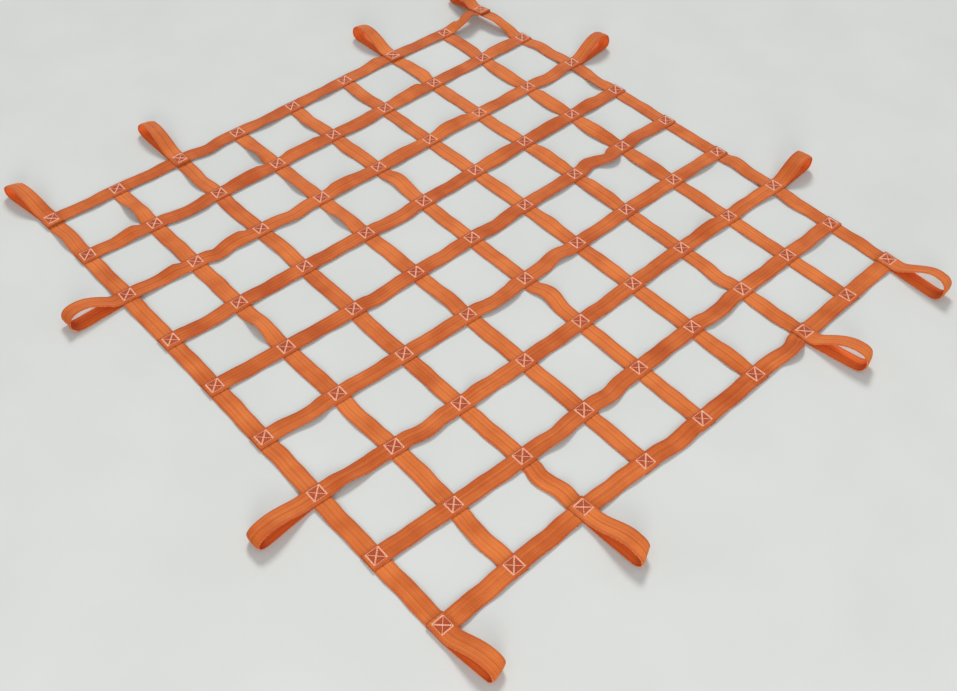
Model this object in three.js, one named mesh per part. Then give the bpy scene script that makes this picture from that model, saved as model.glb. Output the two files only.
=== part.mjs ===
// Cargo lifting net of flat webbing, laid out on a floor.
// Lengthwise straps run along X and lie lowest, crosswise straps run along Y and lie on them.
// Every strap is worked out in its own directions: along it, to its far side, and up.
import * as THREE from 'three';

// Webbing and grid, mm
const STRAP_WIDTH = 45;
const STRAP_THICKNESS = 3;
const CELLS = 8;
const PITCH_X = 200;
const PITCH_Y = 196;

// Sewn crossings, mm
const LAYER_GAP = 0.3;
const SEAM_HALF = 26;
const CUT_END = STRAP_WIDTH / 2;
const FOLDED_TAIL = 24;

// Free spans between crossings
const SPAN_SAG = 0.6;
const RIPPLE_SWAY = 1.2;
const RIPPLE_TILT = 2.5;
const RIPPLE_TURN = { strap: 2.4, span: 1.7, sway: 5, tilt: 4 };
const FOLD_EASE = 0.2;

// Eyes: how far out the crown of the upper layer stands, as a share of the free length, the share of
// the way to it over which the webbing bends up out of its seam, and the power that makes the tip
// blunter than the ellipse that 1 gives
const EYE_CROWN = 0.72;
const EYE_BEND = 0.2;
const EYE_BLUNT = 0.6;

// One corner of the net stands off the floor, mm. Over its sewn crossing it is one plane that slopes
// up towards the net's middle.
const RAISED_CORNER = { x: -782, y: 761, lift: 24, slope: 0.1, plane: 42, radius: 152 };

// Steps along the parts of a strap, and passes that settle a crossing's place
const SPAN_STEPS = 8;
const EYE_RISE_STEPS = 5;
const EYE_TIP_STEPS = 8;
const EYE_FLOOR_STEPS = 3;
const CROSSING_PASSES = 4;

const WEBBING_COLOUR = 0xd9672b;
const WEBBING_ROUGHNESS = 0.8;

const LAYER = STRAP_THICKNESS + LAYER_GAP;
const LAST = CELLS;
const MIDDLE = CELLS / 2;

// Rows of numbers become objects with the named columns
const table = (columns, rows) =>
  rows.map((row) => Object.fromEntries(columns.map((name, i) => [name, row[i]])));

// How far each strap lies to the far side of its grid line, mm
const SHIFT_PLACES = ['start', 'quarter', 'half', 'threeQuarters', 'finish'];
const SHIFT_COLUMNS = ['strap', ...SHIFT_PLACES];
const LENGTHWISE_SHIFT = table(SHIFT_COLUMNS, [
  ['L1', -4, 0, 0, -5, -6],
  ['L2', -7, -4, -3, 2, -8],
  ['L3', -4, -2, 0, -3, 1],
  ['L4', -9, -1, 4, 1, -4],
  ['L5', -8, 4, 3, -1, -14],
  ['L6', -2, 1, 5, -2, -12],
  ['L7', 1, 2, 8, -2, -8],
  ['L8', 18, 10, 9, -3, -16],
  ['L9', -23, 8, 3, -4, -23],
]);
const CROSSWISE_SHIFT = table(SHIFT_COLUMNS, [
  ['C1', -22, -22, -21, -8, -18],
  ['C2', -8, -19, -14, -6, 1],
  ['C3', -6, -17, -18, -13, -10],
  ['C4', -6, -11, -14, -4, -1],
  ['C5', 2, -14, -12, -5, -7],
  ['C6', 3, -11, -16, -6, -6],
  ['C7', 3, -14, -15, -6, -10],
  ['C8', 1, -16, -12, -8, -7],
  ['C9', -4, 2, -11, -3, 6],
]);

// Folds between crossings: span counted from 0, place along it and reach each way as shares of it,
// lift and sway in mm, tilt in degrees. Sway goes to the far side, and a positive tilt raises the
// far edge.
const FOLDS = table(['strap', 'span', 'at', 'reach', 'lift', 'sway', 'tilt'], [
  ['L1', 0, 0.5, 0.45, 2, 2, -11],
  ['L1', 5, 0.4, 0.6, 0, 3, 0],
  ['L2', 0, 0.6, 0.45, 3, 2, -20],
  ['L2', 3, 0.55, 0.45, 3, 4, -15],
  ['L2', 5, 0.4, 0.8, 0, -4, 0],
  ['L2', 7, 0.4, 0.6, 0, -4, 0],
  ['L3', 0, 0.6, 0.45, 1, -7, -6],
  ['L3', 1, 0.35, 0.6, 0, -4, 0],
  ['L3', 2, 0.5, 0.45, 1, 4, 0],
  ['L3', 4, 0.6, 0.8, 0, -3, 0],
  ['L3', 7, 0.3, 0.45, 1, -7, 4],
  ['L3', 7, 0.75, 0.3, 1, 0, 8],
  ['L4', 0, 0.7, 0.45, 2, 0, -14],
  ['L4', 1, 0.6, 0.45, 2, -2, -12],
  ['L4', 2, 0.55, 0.45, 2, 0, -11],
  ['L4', 4, 0.65, 0.45, 1, 4, 0],
  ['L5', 0, 0.5, 0.45, 1, -5, -6],
  ['L5', 1, 0.4, 0.45, 1, -5, 8],
  ['L5', 2, 0.42, 0.6, 3, 5, 6],
  ['L5', 5, 0.35, 0.45, 3, 9, 6],
  ['L6', 0, 0.5, 0.45, 1, -6, -4],
  ['L6', 3, 0.5, 0.45, 1, -2, 7],
  ['L6', 4, 0.5, 0.45, 1, -2, 6],
  ['L6', 5, 0.5, 0.45, 1, 0, 6],
  ['L6', 7, 0.6, 0.6, 1, -4, 12],
  ['L7', 0, 0.6, 0.8, 2, 4, 6],
  ['L7', 2, 0.5, 0.45, 1, -4, 2],
  ['L7', 3, 0.5, 0.8, 1, -2, 12],
  ['L7', 4, 0.45, 0.8, 2, -1, 8],
  ['L7', 6, 0.7, 0.45, 1, -8, -3],
  ['L7', 7, 0.45, 0.8, 1, -4, 7],
  ['L8', 0, 0.5, 0.8, 1, 2, 6],
  ['L8', 1, 0.5, 0.8, 2, -8, 8],
  ['L8', 2, 0.5, 0.8, 2, -7, 14],
  ['L8', 3, 0.5, 0.8, 2, -8, 13],
  ['L8', 4, 0.5, 0.8, 2, -5, 9],
  ['L9', 0, 0.5, 0.45, 2, 0, -10],
  ['L9', 0, 0.75, 0.3, 0, 6, 0],
  ['L9', 1, 0.3, 0.45, 1, 6, 0],
  ['L9', 2, 0.7, 0.45, 1, -10, -7],
  ['L9', 5, 0.25, 0.45, 2, 5, 4],
  ['L9', 6, 0.4, 0.45, 1, -5, 6],
  ['C1', 0, 0.5, 0.45, 1, -3, -6],
  ['C1', 2, 0.45, 0.45, 1, -8, -5],
  ['C1', 3, 0.5, 0.45, 1, -4, -6],
  ['C1', 4, 0.5, 0.45, 1, 0, -6],
  ['C1', 5, 0.75, 0.45, 1, 2, 6],
  ['C1', 7, 0.4, 0.45, 3, -14, -18],
  ['C1', 7, 0.7, 0.4, 2, 0, -12],
  ['C2', 0, 0.75, 0.45, 2, 0, 10],
  ['C2', 1, 0.55, 0.7, 1, -9, -2],
  ['C2', 2, 0.6, 0.8, 2, -1, 9],
  ['C2', 3, 0.5, 0.8, 2, 1, 10],
  ['C2', 4, 0.5, 0.8, 1, -6, 5],
  ['C2', 5, 0.6, 0.7, 2, -2, 17],
  ['C2', 7, 0.45, 0.6, 2, 0, 11],
  ['C3', 0, 0.8, 0.45, 1, 0, 9],
  ['C3', 1, 0.25, 0.35, 1, -9, 0],
  ['C3', 1, 0.7, 0.45, 2, 0, 13],
  ['C3', 2, 0.5, 0.45, 1, -6, -2],
  ['C3', 3, 0.4, 0.6, 2, 1, 12],
  ['C3', 4, 0.4, 0.6, 2, -3, 10],
  ['C3', 5, 0.5, 0.7, 2, 2, 14],
  ['C3', 7, 0.4, 0.6, 1, -8, 5],
  ['C4', 0, 0.5, 0.8, 0, -4, 0],
  ['C4', 3, 0.5, 0.6, 1, -7, 0],
  ['C4', 5, 0.5, 0.7, 2, -4, 11],
  ['C4', 6, 0.5, 0.7, 2, -3, 11],
  ['C4', 7, 0.35, 0.5, 2, -3, 9],
  ['C5', 2, 0.3, 0.4, 0, -6, 0],
  ['C5', 4, 0.4, 0.6, 0, -5, 0],
  ['C5', 5, 0.6, 0.45, 1, -2, -7],
  ['C5', 6, 0.33, 0.45, 1, 8, 3],
  ['C5', 6, 0.72, 0.45, 3, -13, -9],
  ['C5', 7, 0.4, 0.45, 2, 5, -6],
  ['C6', 0, 0.6, 0.5, 1, -7, -9],
  ['C6', 3, 0.5, 0.8, 1, -9, -6],
  ['C6', 4, 0.65, 0.45, 2, 8, -6],
  ['C6', 7, 0.6, 0.45, 1, -2, -9],
  ['C7', 0, 0.35, 0.45, 2, 0, -9],
  ['C7', 1, 0.45, 0.45, 1, -6, -5],
  ['C7', 2, 0.2, 0.45, 1, 0, 10],
  ['C7', 6, 0.7, 0.45, 2, 0, 9],
  ['C7', 7, 0.5, 0.8, 0, 4, 0],
  ['C8', 2, 0.5, 0.45, 1, -4, -6],
  ['C8', 3, 0.35, 0.45, 2, -6, -4],
  ['C8', 5, 0.4, 0.6, 1, -8, -7],
  ['C8', 7, 0.5, 0.45, 1, -2, -8],
  ['C9', 3, 0.5, 0.45, 1, -6, 0],
  ['C9', 5, 0.7, 0.45, 2, -9, -14],
]);

// Lifting eyes: reach out from the edge strap's middle line, rise of the crown and lift of the tip
// above the floor, swing of the whole tip and lean of the crown to the far side, all in mm, tilt of
// the crown and skew of the tip in degrees, and ease, from 0 for webbing that bulges up from its seam
// to 1 for webbing that eases out of it. A positive skew draws the tip's far side in.
const EYE_COLUMNS = ['strap', 'end', 'reach', 'rise', 'lift', 'swing', 'lean', 'tilt', 'skew', 'ease'];
const EYES = table(EYE_COLUMNS, [
  ['L1', 'start', 182, 36, 0, -20, 4, -16, 0, 0.4],
  ['L1', 'finish', 149, 35, 0, 13, 4, -4, 15, 0.3],
  ['L3', 'start', 192, 37, 0, 2, 6, -12, 0, 0.4],
  ['L3', 'finish', 173, 40, 4, 0, 4, -2, 26, 1],
  ['L7', 'start', 178, 43, 0, -2, 4, -12, 0, 0.4],
  ['L7', 'finish', 168, 46, 0, 20, 12, -9, 18, 0],
  ['L9', 'start', 160, 40, 0, 30, 0, 0, 0, 0.5],
  ['L9', 'finish', 171, 47, 0, -4, 18, -14, 6, 0.6],
  ['C3', 'start', 160, 38, 0, -12, 20, -8, 0, 0],
  ['C3', 'finish', 170, 48, 4, 12, 6, -10, 0, 0.4],
  ['C7', 'start', 172, 37, 0, -21, 0, -4, 0, 0.5],
  ['C7', 'finish', 158, 48, 3, 8, 2, -4, 0, 0.4],
]);

const mix = (a, b, f) => a + (b - a) * f;
const smooth = (f) => f * f * (3 - 2 * f);
const clamp = (f) => Math.min(1, Math.max(0, f));

// Smooth line through evenly spaced values, carried on straight past both ends
function spline(values, place) {
  const last = values.length - 1;
  const at = (i) => {
    if (i < 0) return 2 * values[0] - values[1];
    if (i > last) return 2 * values[last] - values[last - 1];
    return values[i];
  };
  if (place < 0) return mix(values[0], values[1], place);
  if (place > last) return values[last] + (values[last] - values[last - 1]) * (place - last);
  const i = Math.min(Math.floor(place), last - 1);
  const f = place - i;
  const slopeIn = (at(i + 1) - at(i - 1)) / 2;
  const slopeOut = (at(i + 2) - at(i)) / 2;
  const rise = at(i + 1) - at(i);
  const square = 3 * rise - 2 * slopeIn - slopeOut;
  const cube = slopeIn + slopeOut - 2 * rise;
  return at(i) + f * (slopeIn + f * (square + f * cube));
}

// The two sets of straps
const SETS = {
  L: {
    names: { strap: 'length_strap', eye: 'length_eye' },
    pitch: PITCH_X,
    shifts: LENGTHWISE_SHIFT,
    line: (index) => (index - MIDDLE) * PITCH_Y,
    place: (along, side, up) => new THREE.Vector3(along, side, up),
    sag: 0,
  },
  C: {
    names: { strap: 'cross_strap', eye: 'cross_eye' },
    pitch: PITCH_Y,
    shifts: CROSSWISE_SHIFT,
    line: (index) => (MIDDLE - index) * PITCH_X,
    place: (along, side, up) => new THREE.Vector3(-side, along, up),
    sag: SPAN_SAG,
  },
};

const eyeOf = (strap, end) => EYES.find((eye) => eye.strap === strap && eye.end === end);
const strapName = (set, index) => `${set}${index + 1}`;

// Where a strap's middle line lies to the side at a place along it
function lineSide(set, index, along) {
  const values = SHIFT_PLACES.map((name) => SETS[set].shifts[index][name]);
  const place = (along / SETS[set].pitch + MIDDLE) * (values.length - 1) / CELLS;
  return SETS[set].line(index) + spline(values, place);
}

// The point in plan where a lengthwise strap and a crosswise strap cross
function crossing(lengthwise, crosswise) {
  let x = (crosswise - MIDDLE) * PITCH_X;
  let y = (lengthwise - MIDDLE) * PITCH_Y;
  for (let pass = 0; pass < CROSSING_PASSES; pass += 1) {
    x = -lineSide('C', crosswise, y);
    y = lineSide('L', lengthwise, x);
  }
  return { x, y };
}

// Number of layers under a strap at a crossing: a crosswise eye's folded end lies under the edge strap
function layersUnder(set, lengthwise, crosswise) {
  const edge = lengthwise === 0 || lengthwise === LAST;
  const folded = edge && eyeOf(strapName('C', crosswise), 'start') ? 1 : 0;
  return set === 'L' ? folded : folded + 1;
}

// Crossings along one strap, in order
function crossingsAlong(set, index) {
  return Array.from({ length: CELLS + 1 }, (_, other) => {
    const lengthwise = set === 'L' ? index : other;
    const crosswise = set === 'L' ? other : index;
    const { x, y } = crossing(lengthwise, crosswise);
    const layers = layersUnder(set, lengthwise, crosswise);
    return { along: set === 'L' ? x : y, level: layers * LAYER };
  });
}

// Share of a fold at a place in its span, zero at both sewn ends
function foldShare(fold, f) {
  const near = clamp(1 - Math.abs(f - fold.at) / fold.reach);
  const ends = clamp(Math.min(f, 1 - f) / FOLD_EASE);
  return smooth(near) * smooth(ends);
}

// How a strap lies at a place in a free span
function spanLie(set, index, span, f, levels) {
  const base = mix(levels[0], levels[1], smooth(f));
  const sag = SETS[set].sag;
  const dip = Math.sin(Math.PI * f) ** 2;
  const phase = index * RIPPLE_TURN.strap + span * RIPPLE_TURN.span;
  const lie = {
    sway: RIPPLE_SWAY * dip * Math.sin(phase + RIPPLE_TURN.sway * f),
    tilt: RIPPLE_TILT * dip * Math.sin(2 * phase + RIPPLE_TURN.tilt * f),
    up: base - (base - sag) * dip,
  };
  for (const fold of FOLDS) {
    if (fold.strap !== strapName(set, index) || fold.span !== span) continue;
    const share = foldShare(fold, f);
    lie.sway += fold.sway * share;
    lie.tilt += fold.tilt * share;
    lie.up += fold.lift * share;
  }
  return lie;
}

// A strap's body: a point on its middle line, with its tilt, at a place along it
function bodyPoint(set, index, crossings, along) {
  const side = lineSide(set, index, along);
  const after = crossings.findIndex((c) => c.along > along);
  const span = after < 0 ? CELLS - 1 : Math.max(after - 1, 0);
  const [a, b] = [crossings[span], crossings[span + 1]];
  const from = a.along + SEAM_HALF;
  const to = b.along - SEAM_HALF;
  const f = clamp((along - from) / (to - from));
  const lie = spanLie(set, index, span, f, [a.level, b.level]);
  const tilt = THREE.MathUtils.degToRad(lie.tilt);
  const clear = (STRAP_WIDTH / 2) * Math.abs(Math.sin(tilt)) + STRAP_THICKNESS / 2;
  return { along, side: side + lie.sway, up: lie.up + clear, tilt, skew: 0 };
}

// Share of an eye's rise at a share of the way out to its crown
function riseShare(eye, f) {
  const bend = clamp(f / EYE_BEND);
  const past = (f - EYE_BEND * bend * (1 - bend / 2)) / (1 - EYE_BEND / 2);
  return mix(Math.sin((Math.PI / 2) * past), smooth(f), eye.ease);
}

// An eye: points on the webbing's middle line, from its upper seam round the tip to its lower seam
function eyePoints(eye, upperLevel, lowerLevel) {
  const half = STRAP_THICKNESS / 2;
  const free = eye.reach - SEAM_HALF;
  const crownOut = SEAM_HALF + free * EYE_CROWN;
  const tipOut = eye.reach - half - crownOut;
  const floorUp = (out) => lowerLevel + half + eye.lift * smooth(clamp((out - SEAM_HALF) / free));
  const top = eye.rise - half;
  const tipBottom = floorUp(crownOut);
  const points = [];
  for (let i = 0; i < EYE_RISE_STEPS; i += 1) {
    const f = i / EYE_RISE_STEPS;
    const up = mix(upperLevel + half, top, riseShare(eye, f));
    points.push({ out: mix(SEAM_HALF, crownOut, f), up });
  }
  for (let i = 0; i <= EYE_TIP_STEPS; i += 1) {
    const angle = Math.PI * (0.5 - i / EYE_TIP_STEPS);
    const up = mix(tipBottom, top, 0.5 + Math.sin(angle) / 2);
    points.push({ out: crownOut + tipOut * Math.cos(angle) ** EYE_BLUNT, up });
  }
  for (let i = 1; i <= EYE_FLOOR_STEPS; i += 1) {
    const out = mix(crownOut, SEAM_HALF, i / EYE_FLOOR_STEPS);
    points.push({ out, up: floorUp(out) });
  }
  return points.map(({ out, up }) => {
    const f = clamp((out - SEAM_HALF) / free);
    const raised = clamp((up - upperLevel - half) / (top - upperLevel - half));
    const tilt = THREE.MathUtils.degToRad(eye.tilt) * raised;
    const skew = Math.tan(THREE.MathUtils.degToRad(eye.skew)) * f;
    return { out, sway: eye.swing * f + eye.lean * raised, up, tilt, skew };
  });
}

// The middle line of a strap's body: a plain end is cut at the edge strap's outer edge, and an end
// with an eye is parted from it at the crossing's middle
function bodyLine(set, index, crossings) {
  const strap = strapName(set, index);
  const endPast = (end) => (eyeOf(strap, end) ? -LAYER_GAP / 2 : CUT_END);
  const places = [crossings[0].along - endPast('start')];
  for (let k = 0; k < CELLS; k += 1) {
    const from = crossings[k].along + SEAM_HALF;
    const to = crossings[k + 1].along - SEAM_HALF;
    for (let i = 0; i <= SPAN_STEPS; i += 1) places.push(mix(from, to, i / SPAN_STEPS));
  }
  places.push(crossings[LAST].along + endPast('finish'));
  return places.map((along) => bodyPoint(set, index, crossings, along));
}

// The middle line of an eye, from its folded end round to where it meets the strap's body. A
// lengthwise eye's folded end lies on the edge strap, a crosswise eye's under it.
function eyeLine(set, index, crossings, eye) {
  const edge = eye.end === 'start' ? crossings[0] : crossings[LAST];
  const outward = eye.end === 'start' ? -1 : 1;
  const tailLevel = set === 'L' ? edge.level + 2 * LAYER : edge.level - 2 * LAYER;
  const loop = eyePoints(eye, Math.max(tailLevel, edge.level), Math.min(tailLevel, edge.level));
  if (set === 'C') loop.reverse();
  const flat = (out, level) => ({ out, sway: 0, up: level + STRAP_THICKNESS / 2, tilt: 0, skew: 0 });
  const points = [flat(-FOLDED_TAIL, tailLevel), ...loop, flat(LAYER_GAP / 2, edge.level)];
  return points.map(({ out, sway, up, tilt, skew }) => {
    const along = edge.along + outward * out;
    return { along, side: lineSide(set, index, along) + sway, up, tilt, skew: -outward * skew };
  });
}

// Height that the raised corner adds at a point in plan
function cornerLift(x, y) {
  const { lift, slope, plane, radius } = RAISED_CORNER;
  const inX = x - RAISED_CORNER.x;
  const inY = RAISED_CORNER.y - y;
  const away = Math.hypot(inX, inY);
  const inward = ((inX + inY) / Math.SQRT2) * Math.min(1, plane / Math.max(away, plane));
  return (lift + slope * inward) * smooth(clamp((radius - away) / (radius - plane)));
}

// A flat bar of webbing bent along a middle line
function webbingGeometry(set, line) {
  const { place } = SETS[set];
  const steps = line.length - 1;
  const centres = line.map((p) => place(p.along, p.side, p.up));
  const frames = line.map((p, i) => {
    const before = centres[Math.max(i - 1, 0)];
    const after = centres[Math.min(i + 1, steps)];
    const run = after.clone().sub(before).normalize();
    const across = place(p.skew, Math.cos(p.tilt), Math.sin(p.tilt));
    across.addScaledVector(run, -across.dot(run)).normalize();
    return { across, normal: run.clone().cross(across) };
  });
  const bar = new THREE.BoxGeometry(steps, STRAP_WIDTH, STRAP_THICKNESS, steps, 1, 1);
  bar.deleteAttribute('normal');
  bar.deleteAttribute('uv');
  const position = bar.getAttribute('position');
  const point = new THREE.Vector3();
  for (let v = 0; v < position.count; v += 1) {
    point.fromBufferAttribute(position, v);
    const i = Math.round(point.x + steps / 2);
    const moved = centres[i].clone();
    moved.addScaledVector(frames[i].across, point.y);
    moved.addScaledVector(frames[i].normal, point.z);
    moved.z += cornerLift(moved.x, moved.y);
    position.setXYZ(v, moved.x, moved.y, moved.z);
  }
  return bar;
}

// The net: one mesh for each strap's body and one for each eye
const net = new THREE.Group();
function addWebbing(name, geometry) {
  const material = new THREE.MeshStandardMaterial({
    color: WEBBING_COLOUR,
    roughness: WEBBING_ROUGHNESS,
    metalness: 0,
  });
  const mesh = new THREE.Mesh(geometry, material);
  mesh.name = name;
  net.add(mesh);
}
for (const set of ['L', 'C']) {
  for (let index = 0; index <= LAST; index += 1) {
    const crossings = crossingsAlong(set, index);
    const { strap, eye } = SETS[set].names;
    addWebbing(`${strap}_${index + 1}`, webbingGeometry(set, bodyLine(set, index, crossings)));
    for (const row of EYES.filter((one) => one.strap === strapName(set, index))) {
      const line = eyeLine(set, index, crossings, row);
      addWebbing(`${eye}_${index + 1}_${row.end}`, webbingGeometry(set, line));
    }
  }
}

export default net;
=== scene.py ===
"""Cargo lifting net of flat webbing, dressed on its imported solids.

Each strap is one continuous piece of webbing on the lie that the part's source gives it, with a
finer section and its weave. Lengths are in mm: along a strap, to its far side, and up.
"""

import math
import random
from collections import namedtuple

import bpy
import numpy as np
from mathutils import Matrix, Vector


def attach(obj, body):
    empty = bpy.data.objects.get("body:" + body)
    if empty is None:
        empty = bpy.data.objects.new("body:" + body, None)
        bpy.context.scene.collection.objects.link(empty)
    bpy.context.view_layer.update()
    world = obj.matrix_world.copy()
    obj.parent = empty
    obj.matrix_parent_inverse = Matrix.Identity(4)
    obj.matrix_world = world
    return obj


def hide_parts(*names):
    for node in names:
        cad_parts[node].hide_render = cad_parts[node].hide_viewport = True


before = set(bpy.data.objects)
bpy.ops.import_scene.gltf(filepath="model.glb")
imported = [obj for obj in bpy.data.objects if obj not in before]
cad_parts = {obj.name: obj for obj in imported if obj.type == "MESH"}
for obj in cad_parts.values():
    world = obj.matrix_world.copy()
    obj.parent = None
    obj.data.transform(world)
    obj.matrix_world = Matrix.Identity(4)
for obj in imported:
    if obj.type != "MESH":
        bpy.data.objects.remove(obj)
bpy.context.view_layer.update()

MM = 0.001
SEED = 7

# Webbing and grid, as in the part's source
STRAP_WIDTH = 45
STRAP_THICKNESS = 3
CELLS = 8
PITCH_X = 200
PITCH_Y = 196
LAYER_GAP = 0.3
SEAM_HALF = 26
CUT_END = STRAP_WIDTH / 2
FOLDED_TAIL = 24
SPAN_SAG = 0.6
RIPPLE_SWAY = 1.2
RIPPLE_TILT = 2.5
RIPPLE_TURN = {"strap": 2.4, "span": 1.7, "sway": 5, "tilt": 4}
FOLD_EASE = 0.2
EYE_CROWN = 0.72
EYE_BEND = 0.2
EYE_BLUNT = 0.6
RAISED_CORNER = {"x": -782, "y": 761, "lift": 24, "slope": 0.1, "plane": 42, "radius": 152}
CROSSING_PASSES = 4

HALF_WIDTH = STRAP_WIDTH / 2
LAYER = STRAP_THICKNESS + LAYER_GAP
LAST = CELLS
MIDDLE = CELLS // 2

# Finer webbing: steps along its parts, its rounded edge, and how it curls and waves between seams
SPAN_STEPS = 28
SEAM_STEPS = 5
EYE_RISE_STEPS = 18
EYE_TIP_STEPS = 30
EYE_FLOOR_STEPS = 10
TAIL_STEPS = 5
FACE_STEPS = 10
EDGE_STEPS = 4
EDGE_RADIUS = 1.4
GROOVE = 0.35
EDGE_CURL = 0.5
EYE_CUP = 3
EDGE_WAVE = 0.4
WAVE_LENGTHS = (61, 97, 83)
WAVE_TURN = 3
FREE_EASE = 20

# Sewing: a box with a cross at each crossing, sewn a little to one side of its middle in plan
BOX_HALF = 15.5
BOX_SHIFT = {"x": -1.5, "y": 2.5}
BOX_JITTER = {"half": 0.6, "shift": 0.8, "turn": 2}
THREAD_RADIUS = 0.9
STITCH = 4.2
ROW_GAP = 1.8
SUNK_BELOW = 0.8

# Corners of a face of a tube: steps along the tube and round it
FACE_CORNERS = ((0, 0), (0, 1), (1, 1), (1, 0))

# Maps for the baked look: their margins, and where a strap's two cut ends lie in its map
MAP_MARGIN = 1.05
MAP_HEADROOM = 0.2
CUT_END_PLACES = ((0.2, 0.99), (0.5, 0.99))
CUT_END_RADIUS = 0.004
STITCH_MARGIN = 0.1

# Weave and raised detail: pitch of ribs and picks in mm, then each bump's depth in mm and strength
RIB_PITCH = 1.6
PICK_PITCH = 2.4
PICK_SHARE = 0.25
BUMPS = {"weave": (0.35, 0.5), "puffed": (0.8, 0.7), "ply": (0.2, 0.6)}

# Webbing's colour: its darkest and lightest, how far straps differ in tone, and the dark lines along it
DEEP_ORANGE = (0.42, 0.066, 0.008, 1)
BRIGHT_ORANGE = (0.72, 0.195, 0.045, 1)
TONE_JITTER = 0.06
QUARTER_PLACE = 0.46 * HALF_WIDTH
LINE_DARK = {"centre": 0.36, "quarter": 0.2}

# Where each change of the webbing sets in and where it is full, mm, or shares of the grain
FADES = {
    "centre": (2, 0.3),
    "quarter": (1.2, 0.3),
    # Painted shade: darker towards both edges, where the rounded webbing turns from the light
    "selvedge": (HALF_WIDTH - 9, HALF_WIDTH - 0.5),
    "worn_edge": (HALF_WIDTH - 2, HALF_WIDTH),
    "worn_grain": (0.45, 0.65),
    # Painted shade: the webbing is painted darker inside each sewn box, where the thread presses it down
    "sewn": (BOX_HALF + 1.5, BOX_HALF),
    "sealed": (3, 0.8),
    "puffed": (0.8, 5),
}

# Gloss: change of roughness over the grain or the ply, what it starts from, and the webbing's sheen
ROUGHNESS = {"webbing": (0.25, 0.55), "thread": (-0.15, 0.7)}
WEBBING_GLOSS = {
    "Sheen Weight": 0.05,
    "Sheen Roughness": 0.45,
    "Sheen Tint": (1, 0.5, 0.25, 1),
    "Specular IOR Level": 0.12,
}

# Thread: length of a turn of its ply in mm, its darkest and lightest stitch, and the shade between plies
PLY_LENGTH = 1.4
THREAD_COLOURS = ((0.92, 0.38, 0.22, 1), (0.92, 0.54, 0.38, 1))
PLY_FADE = (0.5, 0)
PLY_SHADE = 0.18
PLY_COLOUR = (0.6, 0.2, 0.1, 1)
THREAD_SHEEN = 0.2

# Floor: half its size in m, how far it lies below the net in mm, and its mottle's scale and detail
FLOOR_HALF = 6
FLOOR_DROP = 0.45
FLOOR_MOTTLE = (3.5, 4)
FLOOR_COLOURS = ((0.56, 0.57, 0.54, 1), (0.64, 0.645, 0.62, 1))
FLOOR_ROUGHNESS = 0.85

# Camera of the photograph, m and degrees
PHOTO_WIDTH = 957
FOCAL_PIXELS = 1068.7
SENSOR_WIDTH = 36
CAMERA_PLACE = (1.5604, -1.4299, 1.9005)
CAMERA_TARGET = (0.3034, -0.2378, 0)
CAMERA_ROLL = 1.48


def table(columns, rows):
    """Rows with named columns."""
    row_type = namedtuple("Row", columns)
    return [row_type(*row) for row in rows]


# How far each strap lies to the far side of its grid line
SHIFT_COLUMNS = "strap start quarter half three_quarters finish"
LENGTHWISE_SHIFT = table(SHIFT_COLUMNS, [
    ("L1", -4, 0, 0, -5, -6),
    ("L2", -7, -4, -3, 2, -8),
    ("L3", -4, -2, 0, -3, 1),
    ("L4", -9, -1, 4, 1, -4),
    ("L5", -8, 4, 3, -1, -14),
    ("L6", -2, 1, 5, -2, -12),
    ("L7", 1, 2, 8, -2, -8),
    ("L8", 18, 10, 9, -3, -16),
    ("L9", -23, 8, 3, -4, -23),
])
CROSSWISE_SHIFT = table(SHIFT_COLUMNS, [
    ("C1", -22, -22, -21, -8, -18),
    ("C2", -8, -19, -14, -6, 1),
    ("C3", -6, -17, -18, -13, -10),
    ("C4", -6, -11, -14, -4, -1),
    ("C5", 2, -14, -12, -5, -7),
    ("C6", 3, -11, -16, -6, -6),
    ("C7", 3, -14, -15, -6, -10),
    ("C8", 1, -16, -12, -8, -7),
    ("C9", -4, 2, -11, -3, 6),
])

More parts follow.
